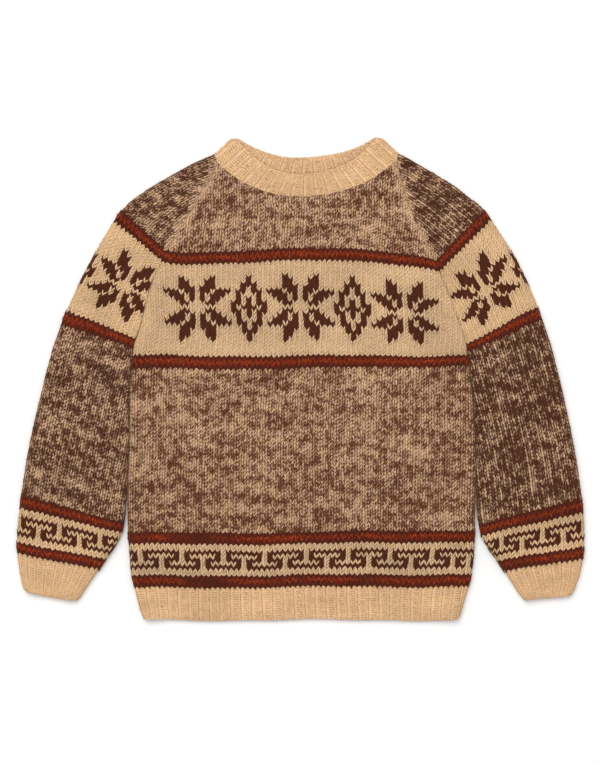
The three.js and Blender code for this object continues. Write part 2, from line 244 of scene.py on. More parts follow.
def fold_points(start, crest, angles, direction, up):
    """Points round a fold: across, height and the two parts of the outward direction."""
    radius = crest / 2
    return np.column_stack([
        start + direction * radius * np.sin(angles),
        radius + up * radius * np.cos(angles),
        direction * np.sin(angles),
        up * np.cos(angles),
    ])


def layer_section(width, crest_a, turn_a, crest_b, turn_b, up):
    """One layer of cloth seen end on, as the solids have it, from end a to end b."""
    angle_a, angle_b = math.radians(turn_a), math.radians(turn_b)
    start = crest_a / 2 * math.sin(angle_a)
    stop = width - crest_b / 2 * math.sin(angle_b)
    across = np.linspace(start, stop, FLAT_STEPS + 1)
    height_a, slope_a = settling(across - start)
    height_b, slope_b = settling(stop - across)
    rise_a, rise_b = crest_a - LAID_HEIGHT, crest_b - LAID_HEIGHT
    is_top = up > 0
    slope = rise_a * slope_a - rise_b * slope_b if is_top else np.zeros_like(across)
    height = LAID_HEIGHT + rise_a * height_a + rise_b * height_b if is_top else 0 * across
    steepness = np.hypot(1, slope)
    flat = np.column_stack([across, height, -slope / steepness, up / steepness])
    turns = 1 - np.arange(ARC_STEPS) / ARC_STEPS
    arc_a = fold_points(start, crest_a, angle_a * turns, -1, up) if turn_a > 0 else flat[:0]
    arc_b = fold_points(stop, crest_b, angle_b * turns, 1, up) if turn_b > 0 else flat[:0]
    return np.vstack([arc_a, flat, arc_b[::-1]])


def reached(points):
    """Distance along a section to each of its points."""
    return np.concatenate([[0], np.cumsum(np.hypot(*np.diff(points[:, :2], axis=0).T))])


def along(points, distances):
    """The section's points at these distances."""
    length = reached(points)
    return np.column_stack([np.interp(distances, length, column) for column in points.T])


def seam_crest(turn):
    """Height of the cloth at a seam where it has turned by so many degrees."""
    return LAID_HEIGHT + (FOLD_HEIGHT - LAID_HEIGHT) * turn / 90


def seam_inset(turn):
    """How far a piece stands back there, for the gap between body and sleeve."""
    return SIDE_GAP / 2 * turn / 90


def neck_curve(share):
    """How deep the neckline dips, from 0 at its ends to 1 at its middle."""
    return 1 - np.abs(2 * np.clip(share, 0, 1) - 1) ** NECK_ROUNDNESS


def in_place(section, start, end, lift=lambda share: 0.0):
    """Plan places and outward directions of a section laid between two points of the plan,
    where `lift` says how far the row rises at each share of its width."""
    direction = end - start
    width = np.hypot(*direction)
    across, height, out_across, out_up = section.T
    plan = start + np.outer(across / width, direction)
    plan[:, 1] += lift(across / width)
    places = np.column_stack([plan, height])
    outward = np.column_stack([np.outer(out_across, direction / width), out_up])
    return places, outward / np.linalg.norm(outward, axis=1)[:, None]


# ---- Rows of each panel ----

def side_rows():
    """The body's sides by row of knitting, from the hem to the neck."""
    y = BODY_SIDES["y"]
    sides = BODY_SIDES | {
        "row": (y - HEM_Y) / ROW_HEIGHT + ROW_REACH,
        "rightY": y,
        "leftY": y,
        "turn": np.full(len(y), 90.0),
        "wrap": SIDE_SEAM_WRAP * BODY_SIDES["wrap"],
    }
    wrap = np.zeros(len(RAGLAN["turn"]))
    return joined(sides, RAGLAN | {"row": RAGLAN["bodyRow"] + ROW_REACH, "wrap": wrap})


def at_row(columns, row):
    """The columns of a table at one row of knitting."""
    return {name: np.interp(row, columns["row"], values) for name, values in columns.items()}


BODY = side_rows()
UNDERARM_ROW = RAGLAN["bodyRow"][0] + ROW_REACH
TOP_BODY_ROW = RAGLAN["bodyRow"][-1] + ROW_REACH
# How far the rows lie above a straight line between their ends: `bow` is the most, at the centre,
# `tilt` is at the wearer's left side, with as much below the line at the right side, and just
# inside the raglan seams they drop by `dip` at the right and rise by `rise` at the left.
ROW_LIFT = table("""
    row bow tilt dip rise
    -10 0 0 0 0
    0 0 1.2 0 0
    14 -1.5 2.6 0 0
    40 -1 2.4 0 0
    62 -1.5 2.6 0 0
    70 2.5 1.2 0 0
    80 9 0 3 2
    89.5 10 0 9.5 8
    97 12 0 4 4
    118 14 0 0 0
""")


def row_lift(row, share):
    """How far a row rises at each share of its width, from the right side to the left."""
    here = at_row(ROW_LIFT, row)
    share = np.clip(share, 0, 1)
    across = 2 * share - 1
    dip = here["dip"] * (1 - share) * (1 - np.exp(-share / SEAM_BEND))
    rise = here["rise"] * share * (1 - np.exp((share - 1) / SEAM_BEND))
    return here["bow"] * (1 - across**2) + here["tilt"] * across - dip + rise


def body_face(row, is_front):
    """A row of the front or the back as a section, its two ends, and the limits of the cloth."""
    side = at_row(BODY, row)
    right = np.array([side["rightX"] + seam_inset(side["turn"]), side["rightY"]])
    left = np.array([side["leftX"] - seam_inset(side["turn"]), side["leftY"]])
    width = np.hypot(*(left - right))
    turn, wrap = side["turn"], side["wrap"]
    edges = [seam_crest(turn), turn] * 2
    face, trimmed = layer_section(width, *edges, 1), wrap
    if not is_front:
        seam = reached(face)[-1]
        rolled = along(face, np.linspace(seam - wrap, seam, ARC_STEPS + 1)[:-1])
        below = layer_section(width, *edges, -1)[::-1]
        face, trimmed = (np.vstack([rolled, below]) if wrap > 0 else below), 0
    length = reached(face)
    middle = centre_distance(face, length, width / 2, is_front)
    return face, right, left, length[-1] - trimmed, middle


def centre_distance(face, length, half_width, is_front):
    """How far along a section the middle of its flat part lies."""
    across = face[:, 0] if is_front else -face[:, 0]
    target = half_width if is_front else -half_width
    flat = slice(ARC_STEPS, None)
    return np.interp(target, across[flat], length[flat])


def pushed(row, stripes):
    """Where the edge below a row lies, in rows: the thick yarn of a stripe pushes it away."""
    for first in stripes:
        if first <= row <= first + STRIPE_ROWS:
            return row + STRIPE_PUSH[int(row - first)]
    return row


def lattice(line, rows, leg_climb=LEG_CLIMB, overlap=0.0):
    """Places and outward directions on the lattice of the stitches. `line` gives them for each
    half column of a row. The edges of the stitches lie lower than the middles a row further up.
    The middles of the first row reach over the panel below by `overlap` at most, in rows."""
    lower = np.maximum(rows + leg_climb - 1, rows[0])
    lower[-1] = rows[-1]
    middles, edges = [np.array([line(row) for row in levels]) for levels in (rows, lower)]
    middles[:, :, 0::2] = edges[:, :, 0::2]
    over = line(rows[0] - overlap)
    reach = np.random.default_rng(OVERLAP_SEED).uniform(LEAST_OVERLAP, 1, len(over[0]))[:, None]
    reach[0::2] = 0
    middles[0, 0] += reach * (over[0] - middles[0, 0])
    return middles[:, 0], middles[:, 1], rows


def panel(line, first_row, last_row, rib_rows, stripes):
    """The lattice of a panel between two rows, with this many finer rows where it is a rib."""
    if rib_rows:
        return lattice(line, np.linspace(first_row, last_row, rib_rows + 1), RIB_CLIMB)
    inside = [pushed(row, stripes) for row in range(math.floor(first_row) + 1, math.ceil(last_row))]
    return lattice(line, np.array([first_row, *inside, last_row], float), overlap=ROW_OVERLAP)


def body_grid(is_front, first_row, last_row, is_rib=False, stripes=()):
    """The lattice of a body panel."""
    counts = (FRONT_HEM_STITCHES, BACK_HEM_STITCHES) if is_rib else (FRONT_STITCHES, BACK_STITCHES)
    stitches = counts[0 if is_front else 1]
    drop = FRONT_NECK_DROP if is_front else BACK_NECK_DROP
    half_columns = np.arange(2 * stitches + 1) / 2 - stitches / 2
    if is_rib:
        half_columns = rib_spread(half_columns)
    _, _, _, at_underarm, _ = body_face(UNDERARM_ROW, is_front)
    pitch_above = (at_underarm - SEAM_GAP) / stitches
    _, _, _, rib_top, rib_middle = body_face(last_row, is_front)

    def line(row):
        face, right, left, length, middle = body_face(row, is_front)
        low, high = SEAM_GAP / 2, length - SEAM_GAP / 2
        if is_rib:
            centre = middle + rib_top / 2 - rib_middle
            share = 2 * half_columns / stitches
            distances = centre + upright(share, rib_top / 2 - low, centre - low, high - centre)
        elif row <= UNDERARM_ROW:
            distances = (low + high) / 2 + half_columns * (high - low) / stitches
        else:
            distances = middle + half_columns * pitch_above
        section = along(face, np.clip(distances, low, high))
        place, out = in_place(section, right, left, lambda share: row_lift(row, share))
        if row > UNDERARM_ROW:
            place[:, 1] = np.minimum(place[:, 1], neckline(place[:, 0], drop))
        return place, out

    return panel(line, first_row, last_row, HEM_ROWS if is_rib else 0, stripes)


def upright(share, widest, to_low, to_high):
    """Where the columns of a rib lie that is pulled in, from its middle (0) to its sides (-1 and
    1): they stay upright, and crowd at the sides."""
    side = np.where(share < 0, to_low, to_high)
    return share * (widest + (side - widest) * np.abs(share) ** RIB_CROWDING)


def neckline(x, drop):
    """Height in the plan of the neckline above each x."""
    share = (x - NECK["rightX"]) / (NECK["leftX"] - NECK["rightX"])
    chord = np.interp(share, [0, 1], [NECK["rightY"], NECK["leftY"]])
    return np.where((share > 0) & (share < 1), chord - drop * neck_curve(share), chord)


def sleeve_rows(arm, side):
    """A sleeve's two edges by row of knitting, from the cuff to the neck."""
    below = arm | {
        "row": arm["row"] + ROW_REACH,
        "innerCrest": arm["crest"],
        "turn": np.full(len(arm["row"]), 90.0),
    }
    shoulder = RAGLAN | {
        "innerX": RAGLAN[side + "X"],
        "innerY": RAGLAN[side + "Y"],
        "outerX": RAGLAN[side + "FoldX"],
        "outerY": RAGLAN[side + "FoldY"],
        "innerCrest": seam_crest(RAGLAN["turn"]),
        "row": RAGLAN["sleeveRow"] + ROW_REACH,
    }
    return joined(below, shoulder)


def sleeve_grid(rows_table, first_row, last_row, stitches=None, stripes=()):
    """The lattice of a sleeve, round from its seam underneath to its seam on top. Its stitches
    are counted from the outer fold. A cuff's share out the row in a given number instead."""
    faces = [sleeve_face(rows_table, row) for row in np.arange(first_row, last_row)]
    widest = max(max(fold, length - fold) for _, _, _, fold, length in faces)
    half = stitches / 2 if stitches else math.ceil(widest / SLEEVE_PITCH)
    half_columns = np.arange(int(4 * half) + 1) / 2 - half
    if stitches:
        half_columns = rib_spread(half_columns)

    def line(row):
        face, inner, outer, fold, length = sleeve_face(rows_table, row)
        low, high = SEAM_GAP / 2, length - SEAM_GAP / 2
        if stitches:
            distances = (low + high) / 2 - half_columns * (high - low) / stitches
        else:
            distances = fold - half_columns * SLEEVE_PITCH
        return in_place(along(face, np.clip(distances, low, high)), inner, outer)

    return panel(line, first_row, last_row, CUFF_ROWS if stitches else 0, stripes)


def sleeve_face(rows_table, row):
    """A row round a sleeve: from the seam over the top to the outer fold, and back underneath."""
    here = at_row(rows_table, row)
    outer = np.array([here["outerX"], here["outerY"]])
    side = math.copysign(1, outer[0])
    inner = np.array([here["innerX"] + side * seam_inset(here["turn"]), here["innerY"]])
    width = np.hypot(*(outer - inner))
    edges = [here["innerCrest"], here["turn"], here["crest"], 90]
    over, under = layer_section(width, *edges, 1), layer_section(width, *edges, -1)[::-1]
    face = np.vstack([over, under])
    return face, inner, outer, reached(over)[-1], reached(face)[-1]


def band_grid():
    """The lattice of the neckband, a ring: its front from the right tip to the left one, and its
    back from there."""

    def line(row):
        halves = []
        for is_front, count in [(True, BAND_FRONT_STITCHES), (False, BAND_BACK_STITCHES)]:
            section, width, base, rim = band_half(is_front)
            length = reached(section)[-1]
            distances = rib_spread(np.arange(2 * count + 1) / 2) * length / count
            if not is_front:
                distances = length - distances
            across, height, out_across, out_up = along(section, distances).T
            height = height + out_up * BAND_LIFT * (row <= 0)
            low, high = base(across), rim(across / width)
            gap = SEAM_GAP / np.hypot(*(high - low).T)[:, None]
            plan = low + (high - low) * (gap + (1 - gap) * row / BAND_ROWS)
            halves.append(np.column_stack([plan, height, out_across, 0 * out_across, out_up]))
        ring = np.vstack([halves[0], halves[1][1:]])
        return ring[:, :3], ring[:, 3:]

    return lattice(line, np.arange(BAND_ROWS + 1.0), RIB_CLIMB, BAND_OVERLAP)


def band_half(is_front):
    """The front or the back of the neckband: its section, its width, and the lines in the plan of
    its lower edge, by distance along it, and of its rim, by share of the width."""
    drop = FRONT_NECK_DROP if is_front else BACK_NECK_DROP
    rim_drop = FRONT_RIM_DROP if is_front else BACK_RIM_DROP
    shares = np.linspace(0, 1, NECK_STEPS + 1)
    x = np.interp(shares, [0, 1], [NECK["rightX"], NECK["leftX"]])
    y = np.interp(shares, [0, 1], [NECK["rightY"], NECK["leftY"]])
    curve = np.column_stack([x, y - drop * neck_curve(shares)])
    right_fold = [NECK["rightFoldX"], NECK["rightFoldY"]]
    left_fold = [NECK["leftFoldX"], NECK["leftFoldY"]]
    path = np.vstack([right_fold, curve, left_fold])
    length = reached(path)
    section = layer_section(length[-1], LAID_HEIGHT, 90, LAID_HEIGHT, 90, 1 if is_front else -1)

    def base(across):
        return np.column_stack([np.interp(across, length, column) for column in path.T])

    def rim(share):
        share = np.clip(share, 0, 1)
        tips = NECK_TIPS[0] + np.outer(share, NECK_TIPS[1] - NECK_TIPS[0])
        return tips - np.outer(rim_drop * neck_curve(share), [0, 1])

    return section, length[-1], base, rim


# ---- Charts ----

# The border, 8 stitches by 5 rows, top row first: # is dark and . is cream.
BORDER = [
    ".#######",
    ".#.....#",
    ".###.###",
    "...#.#..",
    "####.###",
]
# Half of a star with eight points, from its top row down to the row below its centre.
STAR = [
    "...#.....#...",
    "...##...##...",
    "...##...##...",
    "...###.###...",
    "###.##.##.###",
    ".###.#.#.###.",
    "..##.#.#.##..",
    "...##...##...",
    ".............",
]
STAR_REACH, STAR_RISE = 6, 8  # half sizes, in stitches and rows
LOZENGE_REACH, LOZENGE_RISE = 3.6, 8.8
LOZENGE_CORE, LOZENGE_FRAME = 0.3, (0.62, 1.02)  # what is dark of a lozenge, in shares of its size
BORDER_BOTTOM, BORDER_TOP = 5, 10
HEM_STRIPES = [0, 12]  # the first row of each

# The stitches at the middle of each motif of the chest band, and the first rows of the stripes
# below and above it. `key` is the stitch where the border's chart starts.
BODY_PATTERN = {"stars": [-20, 0, 20], "lozenges": [-10, 10], "stripes": [60, 88], "key": 2}
SLEEVE_PATTERN = {"stars": [8, -12], "lozenges": [-2], "stripes": [62, 90], "key": 0}


def is_motif(stitch, row, pattern):
    """Whether a stitch of the chest band is dark."""
    below, above = pattern["stripes"]
    up = abs(row - (below + STRIPE_ROWS + above - 1) // 2)
    for star in pattern["stars"]:
        if abs(stitch - star) <= STAR_REACH and up <= STAR_RISE:
            return STAR[STAR_RISE - up][stitch - star + STAR_REACH] == "#"
    away = min(abs(stitch - at) / LOZENGE_REACH + up / LOZENGE_RISE for at in pattern["lozenges"])
    return away < LOZENGE_CORE or LOZENGE_FRAME[0] < away < LOZENGE_FRAME[1]


def yarn_of(stitch, row, pattern):
    """The yarn of one stitch of a panel."""
    for first in [*HEM_STRIPES, *pattern["stripes"]]:
        if first <= row < first + STRIPE_ROWS:
            return RUST if row == first + 1 else DARK
    if row < HEM_STRIPES[1]:
        if BORDER_BOTTOM <= row < BORDER_TOP:
            cell = BORDER[BORDER_TOP - 1 - row][(stitch - pattern["key"]) % len(BORDER[0])]
            return DARK if cell == "#" else CREAM
        return CREAM
    if pattern["stripes"][0] < row < pattern["stripes"][1]:
        return DARK if is_motif(stitch, row, pattern) else CREAM
    return MARL


# ---- Cloth from a lattice ----

CREASE_CORE = 0.3  # how much of a crease, on each side of its middle, has its full height
CREASE_FADE = 4  # how fast it sinks beyond that
SWAY_ACROSS, SWAY_UP, RIPPLE = 0.9, 1.2, 0.6  # how far the laid cloth strays in the plan
CORNER_REACH = 3  # within how many of its radii a corner is drawn in
LEAST_FACE = 0.02  # twice the area of the smallest face
WINDING_TESTS = 50  # about how many faces show which way a piece is wound


def surface_lift(places, outward):
    """How far the creases raise each point, on the faces that look up."""
    x, y = places[..., 0], places[..., 1]
    lift = np.zeros_like(x)
    for from_x, from_y, to_x, to_y, width, height in zip(*CREASES.values()):
        along_x, along_y = to_x - from_x, to_y - from_y
        length = np.hypot(along_x, along_y)
        share = ((x - from_x) * along_x + (y - from_y) * along_y) / length**2
        away = ((x - from_x) * along_y - (y - from_y) * along_x) / length
        past = np.maximum(np.abs(share - 0.5) - CREASE_CORE, 0)
        lift += height * np.exp(-(past * CREASE_FADE) ** 2) * np.exp(-((away / width) ** 2))
    return lift * np.clip(outward[..., 2], 0, 1)


def unevenness(places):
    """Slow waves in the plan, as hands leave them when they lay cloth down. Their lengths are in
    millimetres a radian."""
    x, y = places[..., 0], places[..., 1]
    shift = np.zeros_like(places)
    shift[..., 0] = SWAY_ACROSS * np.sin(y / 31 + 1.3) * np.cos(x / 67)
    shift[..., 1] = SWAY_UP * np.sin(x / 43 + np.sin(y / 80)) + RIPPLE * np.sin(x / 17 + y / 60)
    return shift


def rounded(places):
    """The places with the corners of the plan drawn in to circles."""
    for x, y, one_x, one_y, two_x, two_y, radius in zip(*ROUND_CORNERS.values()):
        corner = np.array([x, y])
        one, two = np.array([one_x, one_y]) - corner, np.array([two_x, two_y]) - corner
        one, two = one / np.hypot(*one), two / np.hypot(*two)
        half_angle = math.acos(np.clip(np.dot(one, two), -1, 1)) / 2
        inward = (one + two) / np.hypot(*(one + two))
        centre = corner + inward * radius / math.sin(half_angle)
        sides = [edge * np.dot(inward, edge) - inward for edge in (one, two)] / np.sin(half_angle)
        away = places[..., :2] - centre
        distance = np.maximum(np.linalg.norm(away, axis=-1), 1e-9)
        shares = away @ np.linalg.inv(sides)
        in_corner = (shares >= 0).all(axis=-1) & (distance < CORNER_REACH * radius)
        scale = np.maximum(away @ sides[0], away @ sides[1]) / distance
        drawn_in = centre + away * scale[..., None]
        places[..., :2] = np.where(in_corner[..., None], drawn_in, places[..., :2])
    return places


def rib_spread(half_columns):
    """The half stitches of a rib moved so that its knit and purl columns have their own widths."""
    pair = np.floor((half_columns - half_columns[0]) / 2)
    within = half_columns - half_columns[0] - 2 * pair
    return half_columns[0] + 2 * pair + np.interp(within, [0, 1, 2], [0, 2 * KNIT_SHARE, 2])


def stitch_cells(row_count, column_count, is_rib):
    """Corners of the two halves of every stitch, as pairs of row and half column, and their
    row, stitch and kind. The legs of a knit stitch climb from its middle to the edges of the
    next row."""
    cells, owners = [], []
    last = row_count - 1
    for row in range(-1, last):
        foot, head, tip = max(row, 0), row + 1, min(row + 2, last)
        for stitch in range(column_count // 2):
            left, middle, right = 2 * stitch, 2 * stitch + 1, 2 * stitch + 2
            if is_rib and stitch % 2 == 1:
                cells.append([(foot, left), (foot, middle), (head, middle), (head, left)])
                cells.append([(foot, middle), (foot, right), (head, right), (head, middle)])
                owners += [(row, stitch, PURL_BAR), (row, stitch, PURL_BAR)]
            else:
                cells.append([(head, left), (foot, middle), (head, middle), (tip, left)])
                cells.append([(foot, middle), (head, right), (tip, right), (head, middle)])
                owners += [(row, stitch, LEFT_LEG), (row, stitch, RIGHT_LEG)]
    return np.array(cells), np.array(owners)


def cloth_walls(places, outward, is_rib, is_lined):
    """The outer face of the cloth, without its strands, and the inner one."""
    leg_height = RIB_LEG_HEIGHT if is_rib else LEG_HEIGHT
    levelness = 1 - FOLD_SINK * (1 - np.abs(outward[..., 2:]))
    sunk = (leg_height + (RIB_RELIEF if is_rib else 0)) * levelness
    half_stitch = np.arange(places.shape[1]) % len(RIB_PROFILE)
    relief = RIB_RELIEF * np.choose(half_stitch, RIB_PROFILE)[None, :, None] if is_rib else 0
    outer = places + outward * (relief - sunk)
    return outer, places - outward * (CLOTH - (leg_height if is_lined else 0))


def cloth_mesh(name, grid, colour_of, is_rib, is_lined, seed):
    """A closed wall of cloth from a lattice of places, with a face for each half stitch."""
    places, outward, rows = grid
    places = rounded(places + unevenness(places))
    places[..., 2] += surface_lift(places, outward)
    row_count, column_count = places.shape[:2]
    layers = [places, outward, *cloth_walls(places, outward, is_rib, is_lined)]
    keys = np.round(places.reshape(-1, 3), 3)
    _, first, weld = np.unique(keys, axis=0, return_index=True, return_inverse=True)
    base, out, outer, inner = [layer.reshape(-1, 3)[first] for layer in layers]
    cells, owners = stitch_cells(row_count, column_count, is_rib)
    corners = weld.reshape(-1)[cells[..., 0] * column_count + cells[..., 1]]
    rings = [[k for k in range(4) if ids[k] != ids[k - 1]] for ids in corners.tolist()]
    kept = [i for i, ring in enumerate(rings) if is_sound(ring, corners[i], base)]
    rings = [rings[i] for i in kept]
    corners, cells, owners = corners[kept], cells[kept], owners[kept]
    if looks_inward(rings, corners, base, out):
        rings = [ring[::-1] for ring in rings]
    faces = [[int(corners[i][k]) for k in ring] for i, ring in enumerate(rings)]
    edge_pairs = open_edges(faces)
    on_edge = np.zeros(len(outer), bool)
    on_edge[np.unique(edge_pairs)] = True
    outer[on_edge] -= EDGE_DIP * out[on_edge]
    stray = np.random.default_rng(seed).normal(0, RIB_JITTER if is_rib else JITTER, outer.shape)
    stray *= ~on_edge[:, None]
    stray -= out * (stray * out).sum(axis=1)[:, None]
    outer, inner = outer + stray, inner + stray
    count = len(outer)
    lining = [[v + count for v in reversed(face)] for face in faces]
    rims = [[b, a, a + count, b + count] for a, b in edge_pairs]
    mesh = bpy.data.meshes.new(name)
    mesh.from_pydata((np.vstack([outer, inner]) * MM).tolist(), [], faces + lining + rims)
    first_row = math.floor(rows[0])
    near = near_raglan(base[corners].mean(axis=1))
    facts = stitch_facts(cells, owners, first_row, colour_of, near, seed)
    write_facts(mesh, facts, is_lined, len(rims))
    climb = leg_direction(outer[corners], owners, RIB_STEEPNESS if is_rib else STEEPNESS, seed)
    write_directions(mesh, climb, len(rims))
    write_knit_map(mesh, rings, cells, first_row, len(rims))
    return mesh


def is_sound(ring, ids, points):
    """Whether a face has three corners or more, each used once, and an area."""
    if len(ring) < 3 or len({int(ids[k]) for k in ring}) < len(ring):
        return False
    a, b, c, d = points[[ids[ring[k]] for k in (0, 1, 2, -1)]]
    halves = [np.cross(b - a, c - a), np.cross(c - a, d - a)]
    return sum(np.linalg.norm(half) for half in halves) > LEAST_FACE


def looks_inward(rings, corners, points, out):
    """Whether the faces are wound against the cloth's outward direction, judged by some of them."""
    total = 0.0
    for i in range(0, len(rings), max(1, len(rings) // WINDING_TESTS)):
        ids = corners[i][rings[i]]
        a, b, c = points[ids[:3]]
        total += float(np.dot(np.cross(b - a, c - a), out[ids[0]]))
    return total < 0


def open_edges(faces):
    """The edges with one face only, each in the direction of its face."""
    used = set()
    for ring in faces:
        used.update(zip(ring, ring[1:] + ring[:1]))
    return [(a, b) for a, b in sorted(used) if (b, a) not in used]


# ---- What each stitch is ----

def leg_direction(quads, owners, steepness, seed):
    """The way each strand runs: up from the middle of its stitch, or roughly across a purl one."""
    a, b, c, d = quads[:, 0], quads[:, 1], quads[:, 2], quads[:, 3]
    left_leg = (a + d) / 2 - (b + c) / 2 + steepness * (c - b)
    right_leg = (b + c) / 2 - (a + d) / 2 + steepness * (d - a)
    tilt = np.random.default_rng(seed).normal(0, PURL_TILT, (len(a), 1))
    climb = np.choose(owners[:, 2:], [left_leg, right_leg, b - a + tilt * (d - a)])
    return climb / np.maximum(np.linalg.norm(climb, axis=1), 1e-6)[:, None]


def near_raglan(points):
    """How near each point is to a raglan seam: 1 on it, and 0 out of its reach."""
    nearest = np.full(len(points), np.inf)
    for side in ["right", "left"]:
        seam = np.column_stack([RAGLAN[side + "X"], RAGLAN[side + "Y"]])
        for start, stop in zip(seam[:-1], seam[1:]):
            step = stop - start
            share = np.clip((points[:, :2] - start) @ step / (step @ step), 0, 1)
            away = points[:, :2] - start - np.outer(share, step)
            nearest = np.minimum(nearest, np.hypot(*away.T))
    return np.clip(1 - nearest / RAGLAN_REACH, 0, 1)


CROWDED = [0.0, 0.65, 1.0, 1.0, 1.0]  # by how many of the stitches beside it are dark


def crowding(stitch, row, colour_of):
    """How much dark yarn and painted shade darken a cream stitch's valleys: more with dark stitches
    beside it.
    """
    if colour_of(stitch, row) != CREAM:
        return 0.0
    beside = [(stitch - 1, row), (stitch + 1, row), (stitch, row - 1), (stitch, row + 1)]
    return CROWDED[sum(colour_of(*at) == DARK for at in beside)]


def rust_middle(stitch, row, colour_of):
    """The middle of the stripe of rust yarn in this row or beside it, in rows."""
    for near in [row, row - 1, row + 1]:
        if colour_of(stitch, near) == RUST and colour_of(stitch, row) != CREAM:
            return near + RUST_HEIGHT
    return NO_STRIPE


TWIST, TWIST_SPREAD = 1.1, 1.0  # how far the yarn turns from one leg to the next, in radians


def ply(owners, seed):
    """How much of the light ply shows on each leg: it drifts along a row as the yarn turns."""
    random = np.random.default_rng(seed)
    rows, legs = owners[:, 0] + 1, 2 * owners[:, 1] + owners[:, 2] % 2
    shape = (rows.max() + 1, legs.max() + 1)
    start = random.uniform(0, 2 * math.pi, (shape[0], 1))
    turned = start + np.cumsum(random.normal(TWIST, TWIST_SPREAD, shape), axis=1)
    return 0.5 + 0.5 * np.sin(turned)[rows, legs]


def middle_stitch(cells):
    """The stitch at the middle of a panel, from which its charts are counted."""
    return cells[..., 1].max() // 4


def stitch_facts(cells, owners, first_row, colour_of, near, seed):
    """Each half stitch's yarn, how light its ply is, how high its strand stands, which way it
    leans, how crowded it is, and the stripe that it is in."""
    middle = middle_stitch(cells)
    spots = [(int(s) - middle, int(r) + first_row) for r, s, _ in owners]
    kinds = owners[:, 2]
    return {
        "yarn": np.array([colour_of(*spot) for spot in spots]),
        "fleck": ply(owners, seed) + RAGLAN_LIGHT * near,
        "leg": np.where(kinds == PURL_BAR, PURL_HEIGHT, 1.0),
        "lean": np.choose(kinds, [-1.0, 1.0, 0.0]),
        "crowded": np.array([crowding(*spot, colour_of) for spot in spots]),
        "stripe": np.array([rust_middle(*spot, colour_of) for spot in spots]),
    }


RIM_FACTS = {"fleck": 0.5, "stripe": NO_STRIPE}  # the others are 0 there


def write_facts(mesh, facts, is_lined, rim_count):
    """Stores the facts on the outer faces, on the lining, which has strands only where it shows,
    and on the rims."""
    for name, values in facts.items():
        lining = values * (is_lined or name != "leg")
        rims = np.full(rim_count, RIM_FACTS.get(name, 0.0))
        everywhere = np.concatenate([values, lining, rims]).astype(np.float32)
        mesh.attributes.new(name, "FLOAT", "FACE").data.foreach_set("value", everywhere)


def write_directions(mesh, climb, rim_count):
    """Stores which way the strand of each face runs."""
    ways = np.vstack([climb, climb, np.tile([0, 1, 0], (rim_count, 1))]).astype(np.float32)
    mesh.attributes.new("climb", "FLOAT_VECTOR", "FACE").data.foreach_set("vector", ways.ravel())


def write_knit_map(mesh, rings, cells, first_row, rim_count):
    """Stores the stitch and the row of each corner, as a map."""
    lower = (LEG_CLIMB - 1) * (cells[..., 1] % 2 == 0)
    places = [cells[..., 1] / 2 - middle_stitch(cells), cells[..., 0] + first_row + lower]
    corners = np.stack(places, axis=2)
    outer_map = [corners[i][ring] for i, ring in enumerate(rings)]
    lining_map = [corner[::-1] for corner in outer_map]
    knit_map = np.vstack([*outer_map, *lining_map, np.zeros((4 * rim_count, 2))])
    mesh.uv_layers.new(name="knit").data.foreach_set("uv", knit_map.astype(np.float32).ravel())


# ---- Node trees ----

class Tree:
    """A node tree, with short ways to add sockets and nodes. The nodes take values or sockets."""

    def __init__(self, name, kind):
        self.tree = bpy.data.node_groups.new(name, kind)

    def socket(self, name, kind, way):
        return self.tree.interface.new_socket(name, in_out=way, socket_type="NodeSocket" + kind)

    def inputs(self, kind, values):
        """Inputs of one kind, by name, with their values."""
        for name, value in values.items():
            self.socket(name, kind, "INPUT").default_value = value

    def node(self, kind, inputs=None, **settings):
        return add_node(self.tree, kind, inputs, **settings)

    def math(self, operation, *values):
        """The result of an operation."""
        return self.node("ShaderNodeMath", dict(enumerate(values)), operation=operation).outputs[0]

    def times(self, a, b):
        return self.math("MULTIPLY", a, b)

    def plus(self, a, b, by=1.0):
        """The first plus the second, times `by`."""
        return self.math("MULTIPLY_ADD", b, by, a)

    def ramp(self, value, low, high, least=0.0, most=1.0, kind="LINEAR"):
        """A value with low to high spread over least to most, and held there beyond."""
        return self.node("ShaderNodeMapRange", {
            "Value": value, "From Min": low, "From Max": high, "To Min": least, "To Max": most,
        }, interpolation_type=kind).outputs["Result"]

    def smooth_ramp(self, value, low, high):
        return self.ramp(value, low, high, kind="SMOOTHSTEP")

    def mixed(self, factor, first, second, blend="MIX"):
        """Two colours mixed."""
        inputs = {0: factor, 6: first, 7: second}
        return self.node("ShaderNodeMix", inputs, data_type="RGBA", blend_type=blend).outputs[2]

    def between(self, factor, first, second):
        """Two numbers mixed."""
        inputs = {0: factor, 2: first, 3: second}
        return self.node("ShaderNodeMix", inputs, data_type="FLOAT").outputs[0]

    def face_value(self, name, kind="FLOAT"):
        """An attribute of each face."""
        made = self.node("GeometryNodeInputNamedAttribute", {"Name": name}, data_type=kind)
        return made.outputs[0]

    def random(self, low, high, seed, kind="FLOAT"):
        """A random value for each face."""
        inputs = {"Min": low, "Max": high, "Seed": seed}
        made = self.node("FunctionNodeRandomValue", inputs, data_type=kind)
        return next(socket for socket in made.outputs if socket.enabled)


def add_node(tree, kind, inputs=None, **settings):
    """A node with its settings, and its inputs by name or number: a value, or a socket to link."""
    node = tree.nodes.new(kind)
    for name, value in settings.items():
        setattr(node, name, value)
    for key, value in (inputs or {}).items():
        if isinstance(value, bpy.types.NodeSocket):
            tree.links.new(value, node.inputs[key])
        else:
            node.inputs[key].default_value = value
    return node


